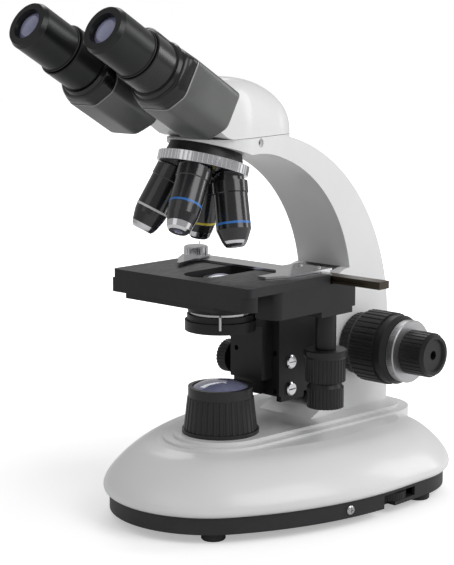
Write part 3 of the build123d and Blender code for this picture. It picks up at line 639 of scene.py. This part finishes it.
def hinge_covers():
    """Round black covers on the folding axis, the right one in front of the left one."""
    for label, near, far in (("right", 57.5, 78.0), ("left", 78.4, 101.0)):
        place = RIM + HINGE_UP * MM * EYE_UP - far * MM * EYE_OUT
        length = far - near
        outline = [(9.2, 0), (9.2, length), (HINGE_COVER_R - 1.5, length), (HINGE_COVER_R, length - 1.5)]
        outline += [(HINGE_COVER_R, 0.4), (HINGE_COVER_R - 0.4, 0)]
        gloss = SLOT_FINISHES["cap_black"]
        turned_ring("hinge_cover_" + label, label + "_side", gloss, place, EYE_OUT, outline)


DOME_LOW = 255.8
DOME_HIGH = 39.6
DOME_TOP_Y = -22.0
DOME_REACH = 79.0
DOME_FRONT_Y = -46.0
DOME_SIDE_Y = -6.0
DOME_BACK_Y = 33.0
DOME_FRONT_HALF = 31.0
DOME_BACK_HALF = 24.0
DOME_MIDDLE_Y = -10.0
DOME_REAR_LENGTH = 66.9
UNDERSIDE_Y = -20.0
UNDERSIDE_RISE = 24.0


def head_dome():
    """White head base: arches whose feet follow the arm's crown and whose tops fall to the rear.

    Arch v stands at y0(v) with half width W and height H; its point u lies at
    x = W cos(u)^(2/m), z = low + H sin(u)^(2/m), and the front arches lean with the tubes' plane.
    """
    front = np.linspace(DOME_FRONT_Y, DOME_MIDDLE_Y, 10)
    rear = DOME_MIDDLE_Y + DOME_REAR_LENGTH * np.sin(np.linspace(0.08, np.pi / 2, 26))
    stations = np.concatenate((front, rear))
    u = np.linspace(0, np.pi, 61)[None, :]
    y = stations[:, None]
    side_length = DOME_BACK_Y - DOME_SIDE_Y
    drawn_in = DOME_FRONT_HALF - DOME_BACK_HALF
    straight = DOME_FRONT_HALF - np.clip(y - DOME_SIDE_Y, 0, side_length) * drawn_in / side_length
    round_back = np.sqrt(np.clip(DOME_BACK_HALF**2 - np.clip(y - DOME_BACK_Y, 0, None) ** 2, 0.2, None))
    width = np.where(y > DOME_BACK_Y, round_back, np.where(y > DOME_SIDE_Y, straight, DOME_FRONT_HALF))
    fall = np.clip((y - DOME_TOP_Y) / DOME_REACH, 0, 0.9999) ** 2.4
    height = DOME_HIGH * (1 - fall) ** 0.53
    power = np.where(y < DOME_SIDE_Y, 4.0, 4.0 - 1.5 * np.clip((y - DOME_SIDE_Y) / 60, 0, 1))
    x = width * np.sign(np.cos(u)) * np.abs(np.cos(u)) ** (2 / power)
    rise = height * np.abs(np.sin(u)) ** (2 / power)
    lean = math.tan(EYE_SLOPE) * np.clip((DOME_MIDDLE_Y - y) / (DOME_MIDDLE_Y - DOME_FRONT_Y), 0, 1)
    back = y + lean * (rise - 20) + 0 * u
    under = UNDERSIDE_RISE * np.clip((UNDERSIDE_Y - y) / (UNDERSIDE_Y - DOME_FRONT_Y), 0, 1) ** 1.1
    rise = under + rise * (1 - under / DOME_HIGH)
    rings = np.stack((x, back + AXIS_Y / MM, DOME_LOW + rise), axis=-1) * MM
    dome = shell("head_dome", "head", SLOT_FINISHES["white_paint"], rings)
    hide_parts("head_base")


def grip_rings():
    """Near-black bead of painted shade in the joint between each eyepiece and its tube, and a soft cup rim
    at each end.
    """
    # painted shade: a near-black bead where shade falls in the joint
    groove_shade = finish(
        "joint_shadow",
        colour=(0.006, 0.006, 0.006),
        dusty=(0.012, 0.012, 0.012),
        gloss=(0.5, 0.6),
        grain=2000,
        bump=0.2,
    )
    for label, way, out in (("right", 1, 0.0), ("left", -1, DIOPTER_OUT)):
        body = label + "_eyepiece"
        place = eye_place(way * EYE_X, 31.0 - out)
        turned_ring("joint_ring_" + label, body, groove_shade, place, EYE_OUT, bead(15.6, 0.6, 0.55))
        rim = eye_place(way * EYE_X, 3.4 - out)
        turned_ring("cup_bead_" + label, body, SLOT_FINISHES["rubber"], rim, EYE_OUT, bead(15.2, 0.0, 0.35))


def housing_trim():
    """Pale line where each gloss cap meets its painted housing: a thin slice of the same section."""
    pale = finish(
        "trim_line",
        colour=(0.36, 0.36, 0.35),
        dusty=(0.28, 0.28, 0.27),
        gloss=(0.3, 0.4),
        grain=2500,
        bump=0.1,
        metallic=0.3,
    )
    section = housing_radius()
    for label, way in (("right", 1), ("left", -1)):
        profile = [(TRIM_S - 0.5, 0.97), (TRIM_S - 0.45, 1.0), (TRIM_S + 0.3, 1.0), (TRIM_S + 0.35, 0.97)]
        rings = np.stack([tube_ring(way, s, section * part) for s, part in profile])
        shell("trim_band_" + label, label + "_side", pale, rings)


FOCUS_Y = 117.6 * MM + AXIS_Y
FOCUS_Z = 102.5 * MM
SCALE_R = 22.0
SCALE_X = 66.5
STROKES = 100
HALF_STROKE = 0.006


def scale_marks():
    """Graduation round each silver ring: short dark strokes, longer at every fifth.

    Stroke k lies at angle t = 2 pi k / n on radius r, from x0 to x1, half a stroke wide either way.
    """
    ink = finish(
        "scale_ink",
        colour=(0.02, 0.02, 0.02),
        dusty=(0.04, 0.04, 0.04),
        gloss=(0.5, 0.6),
        grain=2000,
        bump=0.1,
    )
    number = np.arange(STROKES)
    angle = 2 * np.pi * number / STROKES
    length = np.where(number % 10 == 0, 3.6, np.where(number % 5 == 0, 2.8, 1.9))
    for label, way in (("right", 1), ("left", -1)):
        start = way * SCALE_X
        points = []
        for radius in (SCALE_R - 0.2, SCALE_R + 0.06):
            for side, reach in ((-1, 0), (1, 0), (1, 1), (-1, 1)):
                turned = angle + side * HALF_STROKE
                x = (start + way * (0.2 + reach * length)) * MM
                y = FOCUS_Y + radius * MM * np.cos(turned)
                z = FOCUS_Z + radius * MM * np.sin(turned)
                points.append(np.stack((x, y, z), axis=1))
        cloud = np.stack(points, axis=1)
        box_faces = np.array(
            [(0, 3, 2, 1), (4, 5, 6, 7), (0, 1, 5, 4), (1, 2, 6, 5), (2, 3, 7, 6), (3, 0, 4, 7)]
        )
        if way < 0:
            box_faces = box_faces[:, ::-1]
        faces = (box_faces[None] + 8 * number[:, None, None]).reshape(-1, 4)
        piece = mesh_object("scale_marks_" + label, "fine", ink, cloud.reshape(-1, 3), faces)
        piece.data.polygons.foreach_set("use_smooth", np.zeros(len(faces), dtype=bool))


tube_housings()
front_caps()
hinge_covers()
head_dome()
grip_rings()
housing_trim()
scale_marks()


# Studio


FLOOR_HALF = 4.0
SHADE_NEAR = 0.15
SHADE_FAR = 0.7
SHADE_LIFT = 0.38
FILL_LIGHT = 0.41


def studio_white():
    """Matt white of the floor with painted light: a glow seen only by the camera, weaker near the object
    and full further out, so that only the shade under the object shows.
    """
    material = bpy.data.materials.new("studio_white")
    material.use_nodes = True
    tree = material.node_tree
    shader = tree.nodes["Principled BSDF"]
    shader.inputs["Base Color"].default_value = (0.93, 0.93, 0.93, 1)
    shader.inputs["Roughness"].default_value = 0.9
    shader.inputs["Specular IOR Level"].default_value = 0.1
    shader.inputs["Emission Color"].default_value = (1, 1, 1, 1)
    rays = tree.nodes.new("ShaderNodeLightPath")
    coordinates = tree.nodes.new("ShaderNodeTexCoord")
    reach = tree.nodes.new("ShaderNodeVectorMath")
    reach.operation = "LENGTH"
    tree.links.new(coordinates.outputs["Object"], reach.inputs[0])
    rise = tree.nodes.new("ShaderNodeMapRange")
    rise.inputs["From Min"].default_value = SHADE_NEAR
    rise.inputs["From Max"].default_value = SHADE_FAR
    rise.inputs["To Min"].default_value = SHADE_LIFT
    rise.inputs["To Max"].default_value = 1.0
    tree.links.new(reach.outputs["Value"], rise.inputs["Value"])
    # painted light: camera-only glow, SHADE_LIFT near the object rising to full strength further out
    lift = math_node(tree, "MULTIPLY", rays.outputs["Is Camera Ray"], rise.outputs["Result"])
    tree.links.new(lift, shader.inputs["Emission Strength"])
    return material


def add_floor():
    """Pale floor under the feet, lifted to white for the camera by the painted glow of its finish, which is
    weaker near the object, where its shade falls.
    """
    mesh = bpy.data.meshes.new("floor")
    corners = [(x * FLOOR_HALF, y * FLOOR_HALF, 0) for x, y in ((-1, -1), (1, -1), (1, 1), (-1, 1))]
    mesh.from_pydata(corners, [], [(0, 1, 2, 3)])
    floor = bpy.data.objects.new("floor", mesh)
    bpy.context.scene.collection.objects.link(floor)
    floor.data.materials.append(studio_white())


def light_world():
    """Soft grey light from all round, seen as white by the camera and through glass."""
    world = bpy.data.worlds.new("studio")
    bpy.context.scene.world = world
    world.use_nodes = True
    tree = world.node_tree
    background = tree.nodes["Background"]
    background.inputs["Color"].default_value = (1, 1, 1, 1)
    rays = tree.nodes.new("ShaderNodeLightPath")
    seen = math_node(tree, "MAXIMUM", rays.outputs["Is Camera Ray"], rays.outputs["Is Transmission Ray"])
    tree.links.new(math_node(tree, "MAXIMUM", seen, FILL_LIGHT), background.inputs["Strength"])


def add_lamp(name, place, aim, width, height, watts):
    """Rectangular soft lamp at a place, aimed at a point."""
    data = bpy.data.lights.new(name, "AREA")
    data.shape = "RECTANGLE"
    data.size = width
    data.size_y = height
    data.energy = watts
    lamp = bpy.data.objects.new(name, data)
    lamp.location = place
    lamp.rotation_euler = (Vector(aim) - Vector(place)).to_track_quat("-Z", "Y").to_euler()
    bpy.context.scene.collection.objects.link(lamp)


CAMERA_WAY = math.radians(43.15)
CAMERA_PITCH = math.radians(9.53)
CAMERA_DISTANCE = 1.075
CAMERA_HEIGHT = 0.338
CAMERA_SIDESTEP = 0.0044
FOCAL_PIXELS = 1630.0
IMAGE_HEIGHT = 565.0
SENSOR = 36.0


def add_camera():
    """Camera at the photograph's angle, worked out from the object's measured features."""
    right = Vector((math.cos(CAMERA_WAY), math.sin(CAMERA_WAY), 0))
    ahead = Vector((-math.sin(CAMERA_WAY), math.cos(CAMERA_WAY), 0))
    data = bpy.data.cameras.new("camera")
    data.sensor_fit = "VERTICAL"
    data.sensor_height = SENSOR
    data.sensor_width = SENSOR
    data.lens = FOCAL_PIXELS / IMAGE_HEIGHT * SENSOR
    camera = bpy.data.objects.new("camera", data)
    place = Vector((0, AXIS_Y, CAMERA_HEIGHT)) - ahead * CAMERA_DISTANCE + right * CAMERA_SIDESTEP
    look = ahead * math.cos(CAMERA_PITCH) - Vector((0, 0, math.sin(CAMERA_PITCH)))
    camera.location = place
    camera.rotation_euler = look.to_track_quat("-Z", "Y").to_euler()
    bpy.context.scene.collection.objects.link(camera)
    bpy.context.scene.camera = camera


add_floor()
light_world()
centre = (0, 0, 0.18)
add_lamp("key", (1.45, 0.1, 1.2), centre, 1.1, 1.1, 12.5)
add_lamp("front", (-0.2, -1.6, 1.2), centre, 1.2, 1.2, 2.4)
add_lamp("rim", (-1.0, 0.9, 1.4), centre, 0.9, 0.9, 5)
add_lamp("streak", (0.95, 1.5, 0.75), centre, 0.5, 1.2, 7)
add_camera()

scene = bpy.context.scene
scene.view_settings.view_transform = "Standard"
